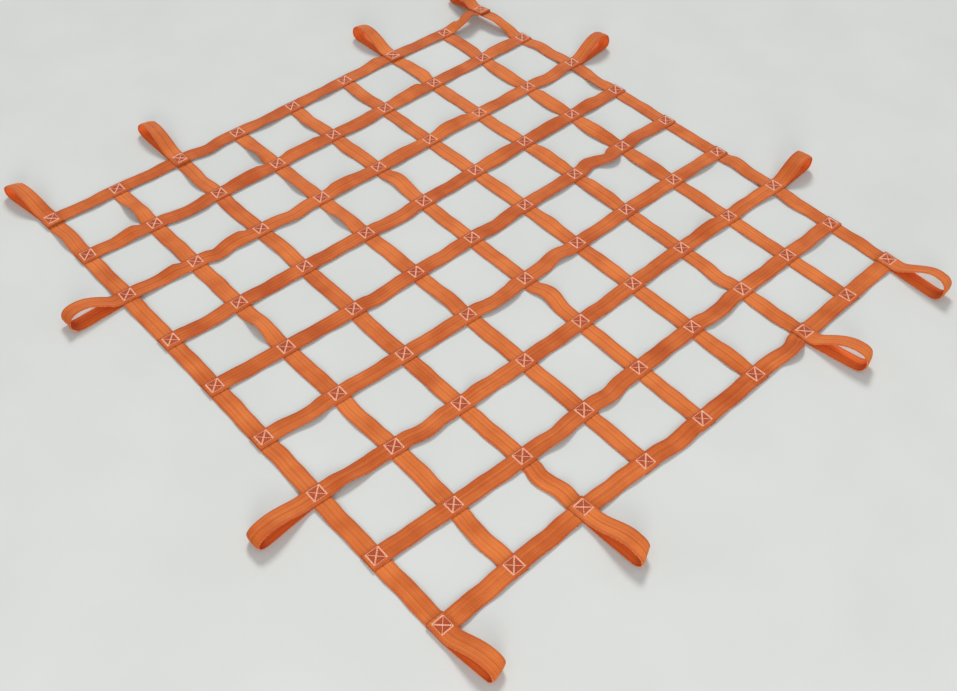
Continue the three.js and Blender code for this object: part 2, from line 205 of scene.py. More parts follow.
# Folds between crossings: place and reach as shares of the span, tilt in degrees
FOLDS = table("strap span at reach lift sway tilt", [
    ("L1", 0, 0.5, 0.45, 2, 2, -11),
    ("L1", 5, 0.4, 0.6, 0, 3, 0),
    ("L2", 0, 0.6, 0.45, 3, 2, -20),
    ("L2", 3, 0.55, 0.45, 3, 4, -15),
    ("L2", 5, 0.4, 0.8, 0, -4, 0),
    ("L2", 7, 0.4, 0.6, 0, -4, 0),
    ("L3", 0, 0.6, 0.45, 1, -7, -6),
    ("L3", 1, 0.35, 0.6, 0, -4, 0),
    ("L3", 2, 0.5, 0.45, 1, 4, 0),
    ("L3", 4, 0.6, 0.8, 0, -3, 0),
    ("L3", 7, 0.3, 0.45, 1, -7, 4),
    ("L3", 7, 0.75, 0.3, 1, 0, 8),
    ("L4", 0, 0.7, 0.45, 2, 0, -14),
    ("L4", 1, 0.6, 0.45, 2, -2, -12),
    ("L4", 2, 0.55, 0.45, 2, 0, -11),
    ("L4", 4, 0.65, 0.45, 1, 4, 0),
    ("L5", 0, 0.5, 0.45, 1, -5, -6),
    ("L5", 1, 0.4, 0.45, 1, -5, 8),
    ("L5", 2, 0.42, 0.6, 3, 5, 6),
    ("L5", 5, 0.35, 0.45, 3, 9, 6),
    ("L6", 0, 0.5, 0.45, 1, -6, -4),
    ("L6", 3, 0.5, 0.45, 1, -2, 7),
    ("L6", 4, 0.5, 0.45, 1, -2, 6),
    ("L6", 5, 0.5, 0.45, 1, 0, 6),
    ("L6", 7, 0.6, 0.6, 1, -4, 12),
    ("L7", 0, 0.6, 0.8, 2, 4, 6),
    ("L7", 2, 0.5, 0.45, 1, -4, 2),
    ("L7", 3, 0.5, 0.8, 1, -2, 12),
    ("L7", 4, 0.45, 0.8, 2, -1, 8),
    ("L7", 6, 0.7, 0.45, 1, -8, -3),
    ("L7", 7, 0.45, 0.8, 1, -4, 7),
    ("L8", 0, 0.5, 0.8, 1, 2, 6),
    ("L8", 1, 0.5, 0.8, 2, -8, 8),
    ("L8", 2, 0.5, 0.8, 2, -7, 14),
    ("L8", 3, 0.5, 0.8, 2, -8, 13),
    ("L8", 4, 0.5, 0.8, 2, -5, 9),
    ("L9", 0, 0.5, 0.45, 2, 0, -10),
    ("L9", 0, 0.75, 0.3, 0, 6, 0),
    ("L9", 1, 0.3, 0.45, 1, 6, 0),
    ("L9", 2, 0.7, 0.45, 1, -10, -7),
    ("L9", 5, 0.25, 0.45, 2, 5, 4),
    ("L9", 6, 0.4, 0.45, 1, -5, 6),
    ("C1", 0, 0.5, 0.45, 1, -3, -6),
    ("C1", 2, 0.45, 0.45, 1, -8, -5),
    ("C1", 3, 0.5, 0.45, 1, -4, -6),
    ("C1", 4, 0.5, 0.45, 1, 0, -6),
    ("C1", 5, 0.75, 0.45, 1, 2, 6),
    ("C1", 7, 0.4, 0.45, 3, -14, -18),
    ("C1", 7, 0.7, 0.4, 2, 0, -12),
    ("C2", 0, 0.75, 0.45, 2, 0, 10),
    ("C2", 1, 0.55, 0.7, 1, -9, -2),
    ("C2", 2, 0.6, 0.8, 2, -1, 9),
    ("C2", 3, 0.5, 0.8, 2, 1, 10),
    ("C2", 4, 0.5, 0.8, 1, -6, 5),
    ("C2", 5, 0.6, 0.7, 2, -2, 17),
    ("C2", 7, 0.45, 0.6, 2, 0, 11),
    ("C3", 0, 0.8, 0.45, 1, 0, 9),
    ("C3", 1, 0.25, 0.35, 1, -9, 0),
    ("C3", 1, 0.7, 0.45, 2, 0, 13),
    ("C3", 2, 0.5, 0.45, 1, -6, -2),
    ("C3", 3, 0.4, 0.6, 2, 1, 12),
    ("C3", 4, 0.4, 0.6, 2, -3, 10),
    ("C3", 5, 0.5, 0.7, 2, 2, 14),
    ("C3", 7, 0.4, 0.6, 1, -8, 5),
    ("C4", 0, 0.5, 0.8, 0, -4, 0),
    ("C4", 3, 0.5, 0.6, 1, -7, 0),
    ("C4", 5, 0.5, 0.7, 2, -4, 11),
    ("C4", 6, 0.5, 0.7, 2, -3, 11),
    ("C4", 7, 0.35, 0.5, 2, -3, 9),
    ("C5", 2, 0.3, 0.4, 0, -6, 0),
    ("C5", 4, 0.4, 0.6, 0, -5, 0),
    ("C5", 5, 0.6, 0.45, 1, -2, -7),
    ("C5", 6, 0.33, 0.45, 1, 8, 3),
    ("C5", 6, 0.72, 0.45, 3, -13, -9),
    ("C5", 7, 0.4, 0.45, 2, 5, -6),
    ("C6", 0, 0.6, 0.5, 1, -7, -9),
    ("C6", 3, 0.5, 0.8, 1, -9, -6),
    ("C6", 4, 0.65, 0.45, 2, 8, -6),
    ("C6", 7, 0.6, 0.45, 1, -2, -9),
    ("C7", 0, 0.35, 0.45, 2, 0, -9),
    ("C7", 1, 0.45, 0.45, 1, -6, -5),
    ("C7", 2, 0.2, 0.45, 1, 0, 10),
    ("C7", 6, 0.7, 0.45, 2, 0, 9),
    ("C7", 7, 0.5, 0.8, 0, 4, 0),
    ("C8", 2, 0.5, 0.45, 1, -4, -6),
    ("C8", 3, 0.35, 0.45, 2, -6, -4),
    ("C8", 5, 0.4, 0.6, 1, -8, -7),
    ("C8", 7, 0.5, 0.45, 1, -2, -8),
    ("C9", 3, 0.5, 0.45, 1, -6, 0),
    ("C9", 5, 0.7, 0.45, 2, -9, -14),
])

# Lifting eyes: reach, lift and swing of the tip, rise and lean of the crown, tilt and skew in degrees
EYES = table("strap end reach rise lift swing lean tilt skew ease", [
    ("L1", "start", 182, 36, 0, -20, 4, -16, 0, 0.4),
    ("L1", "finish", 149, 35, 0, 13, 4, -4, 15, 0.3),
    ("L3", "start", 192, 37, 0, 2, 6, -12, 0, 0.4),
    ("L3", "finish", 173, 40, 4, 0, 4, -2, 26, 1),
    ("L7", "start", 178, 43, 0, -2, 4, -12, 0, 0.4),
    ("L7", "finish", 168, 46, 0, 20, 12, -9, 18, 0),
    ("L9", "start", 160, 40, 0, 30, 0, 0, 0, 0.5),
    ("L9", "finish", 171, 47, 0, -4, 18, -14, 6, 0.6),
    ("C3", "start", 160, 38, 0, -12, 20, -8, 0, 0),
    ("C3", "finish", 170, 48, 4, 12, 6, -10, 0, 0.4),
    ("C7", "start", 172, 37, 0, -21, 0, -4, 0, 0.5),
    ("C7", "finish", 158, 48, 3, 8, 2, -4, 0, 0.4),
])

# Lines of a seam, in halves of its box, its rows on top, and how far they sink between the ribs, mm
SEAM_LINES = table("from_across from_along to_across to_along rows sink", [
    (-1, -1, 1, -1, 2, 0),
    (-1, 1, 1, 1, 2, 0),
    (-1, -1, -1, 1, 1, 0.85),
    (1, -1, 1, 1, 1, 0.85),
    (-1, -1, 1, 1, 2, 0.1),
    (-1, 1, 1, -1, 1, 0.6),
])

# One stitch: share of its length, and height of the thread's middle over the webbing, mm
STITCH_PROFILE = ((0, -0.9), (0.14, 0.1), (0.5, 0.25), (0.86, 0.1), (1, -0.9))
THREAD_SIDES = 5
STITCH_POINTS = len(STITCH_PROFILE) * THREAD_SIDES

# Mottle of the webbing: its scale across and along, for each mm, its detail, and its strength
MOTTLE = table("name across along detail strength", [
    ("streak", 0.5, 0.0012, 2, 0.6),
    ("blotch", 0.012, 0.012, 2, 1.1),
    ("grain", 0.9, 0.35, 3, 0.5),
])

# How far a strap's tone moves it through the mottle, so that no two straps look alike
MOTTLE_SPREAD = 90

# Tints of the webbing, each laid over the last: how strong it is, and its colour
TINTS = table("name strength colour", [
    # Painted light: the eyes' inner faces are painted a brighter orange, where bounced light falls
    ("fresh", 0.6, (0.88, 0.165, 0.03, 1)),
    ("line", 1, (0.2, 0.04, 0.006, 1)),
    # Painted shade along both edges of the webbing
    ("selvedge", 0.45, (0.34, 0.045, 0.01, 1)),
    ("worn", 0.45, (0.84, 0.36, 0.2, 1)),
    # Painted shade inside each sewn box
    ("sewn", 0.75, (0.34, 0.055, 0.02, 1)),
    ("sealed", 0.6, (0.2, 0.04, 0.01, 1)),
])

# Lights: place in m, power, and size in m, or in degrees for the sun
LIGHTS = table("name kind place power size", [
    ("key", "SUN", (-2.6, 2.2, 3), 2.1, 16),
    ("fill", "AREA", (5.5, -4.4, 4.6), 130, 6),
    ("low_fill", "AREA", (9.2, -8, 2.4), 960, 6),
])
SKY_COLOUR = (0.95, 0.97, 1, 1)
SKY_STRENGTH = 0.5

Station = namedtuple("Station", "along side up tilt skew from_seam free inside cup")


def mix(a, b, f):
    return a + (b - a) * f


def smooth(f):
    return f * f * (3 - 2 * f)


def clamp(f):
    return min(1, max(0, f))


def spline(values, place):
    """Smooth line through evenly spaced values, carried on straight past both ends."""
    last = len(values) - 1
    if place < 0:
        return mix(values[0], values[1], place)
    if place > last:
        return values[last] + (values[last] - values[last - 1]) * (place - last)
    ends = [2 * values[0] - values[1], *values, 2 * values[last] - values[last - 1]]
    i = min(int(place), last - 1)
    f = place - i
    before, here, after, beyond = ends[i:i + 4]
    slope_in = (after - before) / 2
    slope_out = (beyond - here) / 2
    rise = after - here
    square = 3 * rise - 2 * slope_in - slope_out
    cube = slope_in + slope_out - 2 * rise
    return here + f * (slope_in + f * (square + f * cube))


# The two sets of straps: box shift is along and aside, and tone is painted sheen, how light the ribs are
# painted that way as the light catches them
SETS = {
    "L": {
        "names": {"strap": "length_strap", "eye": "length_eye"},
        "pitch": PITCH_X,
        "shifts": LENGTHWISE_SHIFT,
        "line": lambda index: (index - MIDDLE) * PITCH_Y,
        "place": lambda along, side, up: np.array((along, side, up)),
        "box_shift": (BOX_SHIFT["x"], BOX_SHIFT["y"]),
        "sag": 0,
        "phase": 1,
        "tone": 0.62,
    },
    "C": {
        "names": {"strap": "cross_strap", "eye": "cross_eye"},
        "pitch": PITCH_Y,
        "shifts": CROSSWISE_SHIFT,
        "line": lambda index: (MIDDLE - index) * PITCH_X,
        "place": lambda along, side, up: np.array((-side, along, up)),
        "box_shift": (BOX_SHIFT["y"], -BOX_SHIFT["x"]),
        "sag": SPAN_SAG,
        "phase": 2,
        "tone": 0.43,
    },
}


def strap_name(set_name, index):
    return f"{set_name}{index + 1}"


def eye_of(strap, end):
    return next((eye for eye in EYES if eye.strap == strap and eye.end == end), None)


def line_side(set_name, index, along):
    """Where a strap's middle line lies to the side at a place along it."""
    values = SETS[set_name]["shifts"][index][1:]
    place = (along / SETS[set_name]["pitch"] + MIDDLE) * (len(values) - 1) / CELLS
    return SETS[set_name]["line"](index) + spline(values, place)


def crossing(lengthwise, crosswise):
    """The point in plan where a lengthwise strap and a crosswise strap cross."""
    x = (crosswise - MIDDLE) * PITCH_X
    y = (lengthwise - MIDDLE) * PITCH_Y
    for _ in range(CROSSING_PASSES):
        x = -line_side("C", crosswise, y)
        y = line_side("L", lengthwise, x)
    return x, y


def layers_under(set_name, lengthwise, crosswise):
    """Layers under a strap at a crossing: a crosswise eye's folded end lies under the edge strap."""
    edge = lengthwise in (0, LAST)
    folded = 1 if edge and eye_of(strap_name("C", crosswise), "start") else 0
    return folded if set_name == "L" else folded + 1


def crossings_along(set_name, index):
    """Places and levels of the crossings along one strap, in order."""
    places, levels = [], []
    for other in range(CELLS + 1):
        pair = (index, other) if set_name == "L" else (other, index)
        places.append(crossing(*pair)[0 if set_name == "L" else 1])
        levels.append(layers_under(set_name, *pair) * LAYER)
    return places, levels


def fold_share(fold, f):
    """Share of a fold at a place in its span, zero at both sewn ends."""
    near = clamp(1 - abs(f - fold.at) / fold.reach)
    ends = clamp(min(f, 1 - f) / FOLD_EASE)
    return smooth(near) * smooth(ends)


def span_lie(set_name, index, span, f, level_from, level_to):
    """Sway, tilt in degrees and height of a strap at a place in a free span."""
    base = mix(level_from, level_to, smooth(f))
    dip = math.sin(math.pi * f) ** 2
    phase = index * RIPPLE_TURN["strap"] + span * RIPPLE_TURN["span"]
    sway = RIPPLE_SWAY * dip * math.sin(phase + RIPPLE_TURN["sway"] * f)
    tilt = RIPPLE_TILT * dip * math.sin(2 * phase + RIPPLE_TURN["tilt"] * f)
    up = base - (base - SETS[set_name]["sag"]) * dip
    for fold in FOLDS:
        if fold.strap == strap_name(set_name, index) and fold.span == span:
            share = fold_share(fold, f)
            sway += fold.sway * share
            tilt += fold.tilt * share
            up += fold.lift * share
    return sway, tilt, up


def body_station(set_name, index, places, levels, along):
    """A strap's body at a place along it."""
    span = max(0, min(CELLS - 1, sum(place <= along for place in places) - 1))
    start = places[span] + SEAM_HALF
    finish = places[span + 1] - SEAM_HALF
    f = clamp((along - start) / (finish - start))
    sway, tilt, up = span_lie(set_name, index, span, f, levels[span], levels[span + 1])
    tilt = math.radians(tilt)
    clear = HALF_WIDTH * abs(math.sin(tilt)) + STRAP_THICKNESS / 2
    from_crossing = min(abs(along - place) for place in places)
    from_seam = min(abs(along - place - SETS[set_name]["box_shift"][0]) for place in places)
    free = smooth(clamp((from_crossing - SEAM_HALF) / FREE_EASE))
    side = line_side(set_name, index, along) + sway
    return Station(along, side, up + clear, tilt, 0, from_seam, free, 0, 0)


def spaced(start, finish, steps):
    """Even places from start up to, and without, finish."""
    return [mix(start, finish, i / steps) for i in range(steps)]


def body_stations(set_name, index, places, levels):
    """A strap's body. It runs on to the eye's seam, or to where the end is cut."""
    strap = strap_name(set_name, index)
    before = SEAM_HALF if eye_of(strap, "start") else CUT_END
    after = SEAM_HALF if eye_of(strap, "finish") else CUT_END
    along = []
    for k, place in enumerate(places):
        seam = place + SETS[set_name]["box_shift"][0]
        along += spaced(place - (before if k == 0 else SEAM_HALF), seam, SEAM_STEPS)
        along += spaced(seam, place + (after if k == LAST else SEAM_HALF), SEAM_STEPS)
        if k < LAST:
            along += spaced(place + SEAM_HALF, places[k + 1] - SEAM_HALF, SPAN_STEPS)
    along.append(places[LAST] + after)
    return [body_station(set_name, index, places, levels, one) for one in along]


def rise_share(eye, f):
    """Share of an eye's rise at a share of the way out to its crown."""
    bend = clamp(f / EYE_BEND)
    past = (f - EYE_BEND * bend * (1 - bend / 2)) / (1 - EYE_BEND / 2)
    return mix(math.sin(math.pi / 2 * past), smooth(f), eye.ease)


def eye_loop(eye, upper_level, lower_level):
    """An eye's webbing from its upper seam round to its lower: out, sway, up, tilt, skew and cup."""
    half = STRAP_THICKNESS / 2
    free = eye.reach - SEAM_HALF
    crown_out = SEAM_HALF + free * EYE_CROWN
    tip_out = eye.reach - half - crown_out
    top = eye.rise - half

    def floor_up(out):
        return lower_level + half + eye.lift * smooth(clamp((out - SEAM_HALF) / free))

    points = []
    for f in spaced(0, 1, EYE_RISE_STEPS):
        up = mix(upper_level + half, top, rise_share(eye, f))
        points.append((mix(SEAM_HALF, crown_out, f), up, 0))
    for f in spaced(0, 1, EYE_TIP_STEPS):
        angle = math.pi * (0.5 - f)
        up = mix(floor_up(crown_out), top, 0.5 + math.sin(angle) / 2)
        tip = math.cos(angle)
        points.append((crown_out + tip_out * tip ** EYE_BLUNT, up, tip))
    for f in spaced(0, 1, EYE_FLOOR_STEPS):
        out = mix(crown_out, SEAM_HALF, f)
        points.append((out, floor_up(out), 0))
    points.append((SEAM_HALF, floor_up(SEAM_HALF), 0))

    loop = []
    for out, up, cup in points:
        f = clamp((out - SEAM_HALF) / free)
        raised = clamp((up - upper_level - half) / (top - upper_level - half))
        sway = eye.swing * f + eye.lean * raised
        skew = math.tan(math.radians(eye.skew)) * f
        loop.append((out, sway, up, math.radians(eye.tilt) * raised, skew, cup))
    return loop


def eye_stations(set_name, index, eye, edge_along, edge_level):
    """An eye from its folded end round to the strap's body, without the seam that the body has."""
    outward = -1 if eye.end == "start" else 1
    inside = 1 if set_name == "L" else -1
    seam_out = outward * SETS[set_name]["box_shift"][0]
    tail_level = edge_level + (2 * LAYER if set_name == "L" else -2 * LAYER)
    loop = eye_loop(eye, max(tail_level, edge_level), min(tail_level, edge_level))
    if set_name == "C":
        loop.reverse()
    tail_up = tail_level + STRAP_THICKNESS / 2
    tail_outs = spaced(-FOLDED_TAIL, seam_out, TAIL_STEPS) + spaced(seam_out, SEAM_HALF, TAIL_STEPS)
    tail = [(out, 0, tail_up, 0, 0, 0) for out in tail_outs]
    stations = []
    for out, sway, up, tilt, skew, cup in tail + loop[:-1]:
        along = edge_along + outward * out
        side = line_side(set_name, index, along) + sway
        from_seam = abs(out - seam_out)
        stations.append(Station(along, side, up, tilt, -outward * skew, from_seam, 0, inside, cup))
    return stations


def strap_stations(set_name, index):
    """One whole strap from end to end, with its eyes."""
    places, levels = crossings_along(set_name, index)
    stations = body_stations(set_name, index, places, levels)
    strap = strap_name(set_name, index)
    start, finish = eye_of(strap, "start"), eye_of(strap, "finish")
    if start:
        stations = eye_stations(set_name, index, start, places[0], levels[0]) + stations
    if finish:
        stations += eye_stations(set_name, index, finish, places[LAST], levels[LAST])[::-1]
    return stations


def corner_lift(x, y):
    """Height that the raised corner adds at points in plan."""
    corner = RAISED_CORNER
    in_x = x - corner["x"]
    in_y = corner["y"] - y
    away = np.hypot(in_x, in_y)
    level_out = np.minimum(1, corner["plane"] / np.maximum(away, corner["plane"]))
    inward = (in_x + in_y) / math.sqrt(2) * level_out
    fade = np.clip((corner["radius"] - away) / (corner["radius"] - corner["plane"]), 0, 1)
    return (corner["lift"] + corner["slope"] * inward) * smooth(fade)


def unit(vectors):
    return vectors / np.linalg.norm(vectors, axis=-1, keepdims=True)


def webbing_section():
    """Points round the webbing: to the far side and up, over the top, round an edge and back below."""
    half = STRAP_THICKNESS / 2
    flat = HALF_WIDTH - EDGE_RADIUS
    face = []
    for i in range(FACE_STEPS + 1):
        side = mix(flat, -flat, i / FACE_STEPS)
        face.append((side, half - GROOVE * math.cos(2 * math.pi * side / STRAP_WIDTH) ** 2))
    edge = []
    for i in range(1, EDGE_STEPS):
        angle = math.pi * (0.5 - i / EDGE_STEPS)
        edge.append((-flat - EDGE_RADIUS * math.cos(angle), half * math.sin(angle)))
    upper = face + edge
    return np.array(upper + [(-side, -up) for side, up in upper])


def new_object(name, vertices, faces, bake_map, values, material):
    """A smooth mesh object with named values at its points and a map for its baked look."""
    mesh = bpy.data.meshes.new(name)
    mesh.from_pydata((vertices * MM).tolist(), [], faces)
    mesh.shade_smooth()
    for key, numbers in values.items():
        attribute = mesh.attributes.new(key, "FLOAT", "POINT")
        attribute.data.foreach_set("value", np.asarray(numbers, np.float32))
    mesh.uv_layers.new(name="OFBake").data.foreach_set("uv", bake_map.astype(np.float32).ravel())
    mesh.materials.append(material)
    made = bpy.data.objects.new(name, mesh)
    bpy.context.scene.collection.objects.link(made)
    return made


def tube_faces(rings, sides):
    """Faces between the rings of a tube, each ring's points counted on from the last."""
    faces = []
    for i in range(rings - 1):
        for j in range(sides):
            faces.append(tuple((i + a) * sides + (j + b) % sides for a, b in FACE_CORNERS))
    return faces


def webbing_map(run, round_it, faces, sides):
    """A square map of a strap: stretches of it side by side, and both cut ends above them."""
    girth = round_it[-1] * MAP_MARGIN
    stretches = max(1, round(math.sqrt(run[-1] / girth)))
    longest = run[-1] / stretches
    scale = 1 / (MAP_MARGIN * max(longest, girth * (stretches + MAP_HEADROOM)))
    uv = []
    for number, face in enumerate(faces):
        if len(face) > len(FACE_CORNERS):
            rim = np.linspace(0, 2 * math.pi, len(face), endpoint=False)
            circle = np.stack((np.cos(rim), np.sin(rim)), 1)
            uv += list(np.array(CUT_END_PLACES[number % 2]) + CUT_END_RADIUS * circle)
            continue
        i, j = divmod(number, sides)
        stretch = min(stretches - 1, int(run[i] / longest))
        for step_i, step_j in FACE_CORNERS:
            u = run[i + step_i] - stretch * longest
            v = round_it[j + step_j] + stretch * girth
            uv.append((u * scale, v * scale))
    return np.array(uv)


def running_length(points):
    """How far along a line each of its points lies."""
    steps = np.linalg.norm(np.diff(points, axis=0), axis=1)
    return np.concatenate(([0], np.cumsum(steps)))


def column(stations, name):
    """One value of every station, as a column."""
    return np.array([getattr(s, name) for s in stations])[:, None]


def bent_webbing(set_name, stations, section, phase):
    """Points of a strap, a ring of its section at each station, and how far along it each ring is."""
    place = SETS[set_name]["place"]
    centres = np.array([place(s.along, s.side, s.up) for s in stations])
    distance = running_length(centres)
    run = unit(np.gradient(centres, axis=0))
    across = np.array([place(s.skew, math.cos(s.tilt), math.sin(s.tilt)) for s in stations])
    across = unit(across - run * np.sum(across * run, axis=1, keepdims=True))
    normal = np.cross(run, across)

    free = column(stations, "free")
    cup = column(stations, "inside") * column(stations, "cup")
    share = section[:, 0] / HALF_WIDTH
    turns = [2 * math.pi * distance / length + phase * length for length in WAVE_LENGTHS]
    far, middle, near = [np.sin(turn)[:, None] for turn in turns]
    curl = EDGE_CURL * free * (0.5 + 0.5 * middle) * share ** 2 + EYE_CUP * cup * abs(share) ** 3
    wave = EDGE_WAVE * free * np.where(share > 0, far, near) * abs(share)
    points = (centres[:, None]
              + across[:, None] * (section[:, 0] + wave)[..., None]
              + normal[:, None] * (section[:, 1] + curl)[..., None])
    points[..., 2] += corner_lift(points[..., 0], points[..., 1])
    return points.reshape(-1, 3), distance


def add_strap(set_name, index, material):
    """One strap of webbing bent along its stations."""
    own = SETS[set_name]
    stations = strap_stations(set_name, index)
    section = webbing_section()
    rings, sides = len(stations), len(section)
    phase = SEED + WAVE_TURN * index + own["phase"]
    points, distance = bent_webbing(set_name, stations, section, phase)
    length = distance[-1]
    # A strap's tone: its set's painted sheen, and a random tone of its own
    tone = own["tone"] + random.Random(phase).uniform(-TONE_JITTER, TONE_JITTER)
    values = {
        "across": np.tile(section[:, 0], rings),
        "from_seam_line": np.tile(section[:, 0] - own["box_shift"][1], rings),
        "along": np.repeat(distance, sides),
        "from_seam": np.repeat([s.from_seam for s in stations], sides),
        "from_end": np.repeat(np.minimum(distance, length - distance), sides),
        "tone": np.full(rings * sides, tone),
        # Inner faces of the eyes, which get painted light
        "fresh": np.ravel(column(stations, "inside") * section[:, 1] > 0),
    }
    faces = tube_faces(rings, sides)
    faces.append(tuple(range(sides))[::-1])
    faces.append(tuple(range((rings - 1) * sides, rings * sides)))
    round_it = running_length(np.vstack((section, section[:1])))
    bake_map = webbing_map(distance, round_it, faces, sides)

    node = f"{own['names']['strap']}_{index + 1}"
    strap = new_object(f"webbing_{node}", points, faces, bake_map, values, material)
    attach(strap, "root")
    ends = [eye.end for eye in EYES if eye.strap == strap_name(set_name, index)]
    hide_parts(node, *[f"{own['names']['eye']}_{index + 1}_{end}" for end in ends])
    return strap, length


def seam_frame(lengthwise, crosswise):
    """Middle, direction along the top webbing and height of its face at a crossing."""
    x, y = crossing(lengthwise, crosswise)
    top = layers_under("C", lengthwise, crosswise) * LAYER + STRAP_THICKNESS
    folded_over = crosswise in (0, LAST) and eye_of(strap_name("L", lengthwise), "start")
    if folded_over:
        lean = line_side("L", lengthwise, x + 1) - line_side("L", lengthwise, x)
        return np.array((x, y)), np.array((1, lean)), top + LAYER
    lean = line_side("C", crosswise, y + 1) - line_side("C", crosswise, y)
    return np.array((x, y)), np.array((-lean, 1)), top


def jitter(chance, kind):
    """A random change of a seam's box."""
    return chance.uniform(-1, 1) * BOX_JITTER[kind]


def seam_box(lengthwise, crosswise, chance):
    """Middle, directions across and along, half size and height of the box sewn at a crossing."""
    middle, along, top = seam_frame(lengthwise, crosswise)
    middle = middle + [BOX_SHIFT[axis] + jitter(chance, "shift") for axis in "xy"]
    heading = math.atan2(along[1], along[0]) + math.radians(jitter(chance, "turn"))
    along = np.array((math.cos(heading), math.sin(heading)))
    across = np.array((-along[1], along[0]))
    half = BOX_HALF + jitter(chance, "half")
    return middle, across, along, half, top


def seam_stitches(half, on_top):
    """Start, finish and depth of each stitch of a seam, across and along the top webbing."""
    stitches = []
    for line in SEAM_LINES:
        start = np.array((line.from_across, line.from_along)) * half
        finish = np.array((line.to_across, line.to_along)) * half
        length = np.linalg.norm(finish - start)
        aside = np.array((start[1] - finish[1], finish[0] - start[0])) / length
        count = round(length / STITCH)
        rows = line.rows if on_top else 1
        sink = line.sink if on_top else SUNK_BELOW
        for row in range(rows):
            shift = aside * ROW_GAP * (row - (rows - 1) / 2)
            for i in range(count):
                ends = [mix(start, finish, (i + step) / count) + shift for step in (0, 1)]
                stitches.append((*ends, sink))
    return stitches


def stitch_tube(start, finish, level, upward):
    """Points of one stitch's thread, ring by ring."""
    run = finish - start
    aside = np.array((-run[1], run[0])) / np.linalg.norm(run)
    rings = []
    for share, height in STITCH_PROFILE:
        centre = start + run * share
        for side in range(THREAD_SIDES):
            angle = 2 * math.pi * side / THREAD_SIDES
            x, y = centre + aside * THREAD_RADIUS * math.cos(angle)
            up = height + THREAD_RADIUS * math.sin(angle)
            rings.append((x, y, level + upward * up))
    return rings


def stitch_twist(length):
    """Place of each point of a stitch in the thread's twist, mm: along the stitch and on round it."""
    twist = []
    for share, _ in STITCH_PROFILE:
        twist += [share * length + STITCH * side / THREAD_SIDES for side in range(THREAD_SIDES)]
    return twist


def thread_map(stitches):
    """A map with each stitch's thread unrolled in a cell of its own."""
    cells = math.ceil(math.sqrt(stitches))
    rings = len(STITCH_PROFILE) - 1
    unrolled = []
    for i in range(rings):
        for j in range(THREAD_SIDES):
            unrolled += [((i + a) / rings, (j + b) / THREAD_SIDES) for a, b in FACE_CORNERS]
    corners = np.array([divmod(number, cells) for number in range(stitches)]) + STITCH_MARGIN
    uv = (corners[:, None] + (1 - 2 * STITCH_MARGIN) * np.array(unrolled)) / cells
    return uv.reshape(-1, 2)


def add_sewing(lengthwise, material):
    """The seams along one lengthwise strap, on top and below."""
    points, faces, twist, tone = [], [], [], []
    stitch_faces = tube_faces(len(STITCH_PROFILE), THREAD_SIDES)
    for crosswise in range(CELLS + 1):
        chance = random.Random(SEED + lengthwise * (CELLS + 1) + crosswise)
        middle, across, along, half, top = seam_box(lengthwise, crosswise, chance)
        for on_top, level, upward in ((True, top, 1), (False, 0, -1)):
            for start, finish, sink in seam_stitches(half, on_top):
                ends = [middle + across * p[0] + along * p[1] for p in (start, finish)]
                first = len(points)
                points += stitch_tube(*ends, level - upward * sink, upward)
                faces += [tuple(first + corner for corner in face) for face in stitch_faces]
                twist += stitch_twist(np.linalg.norm(finish - start))
                tone += [chance.random()] * STITCH_POINTS
    points = np.array(points)
    points[:, 2] += corner_lift(points[:, 0], points[:, 1])
    bake_map = thread_map(len(points) // STITCH_POINTS)
    values = {"twist": twist, "tone": tone}
    sewing = new_object(f"sewing_{lengthwise + 1}", points, faces, bake_map, values, material)
    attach(sewing, "root")
    return sewing


class Nodes:
    """Short ways to add nodes to a material. Values are numbers, colours or other nodes' outputs."""

    def __init__(self, name):
        self.material = bpy.data.materials.new(name)
        self.material.use_nodes = True
        self.tree = self.material.node_tree
        self.shader = self.tree.nodes["Principled BSDF"]

    def add(self, kind, inputs, output=0, **settings):
        node = self.tree.nodes.new(kind)
        for name, value in settings.items():
            setattr(node, name, value)
        for key, value in inputs.items():
            self.put(node.inputs[key], value)
        return node.outputs[output]

    def put(self, socket, value):
        if isinstance(value, bpy.types.NodeSocket):
            self.tree.links.new(value, socket)
        else:
            socket.default_value = value

    def math(self, operation, *values):
        return self.add("ShaderNodeMath", dict(enumerate(values)), operation=operation)

    def apart(self, value, other):
        return self.math("ABSOLUTE", self.math("SUBTRACT", value, other))

    def value(self, name):
        return self.add("ShaderNodeAttribute", {}, "Fac", attribute_name=name)

    def ramp(self, value, low, high):
        """A smooth step from 0 at one value to 1 at another."""
        inputs = {"Value": value, "From Min": low, "From Max": high}
        return self.add("ShaderNodeMapRange", inputs, interpolation_type="SMOOTHSTEP")

    def noise(self, vector, scale, detail):
        inputs = {"Vector": vector, "Scale": scale, "Detail": detail}
        return self.add("ShaderNodeTexNoise", inputs, "Fac")

    def vector(self, x, y, z):
        return self.add("ShaderNodeCombineXYZ", {"X": x, "Y": y, "Z": z})

    def blend(self, share, colour, other):
        inputs = {"Factor": share, 6: colour, 7: other}
        return self.add("ShaderNodeMix", inputs, 2, data_type="RGBA")

    def bump(self, height, name, normal=None):
        depth, strength = BUMPS[name]
        inputs = {"Height": height, "Distance": depth * MM, "Strength": strength}
        if normal:
            inputs["Normal"] = normal
        return self.add("ShaderNodeBump", inputs, "Normal")

    def finish(self, inputs):
        for name, value in inputs.items():
            self.put(self.shader.inputs[name], value)
        return self.material


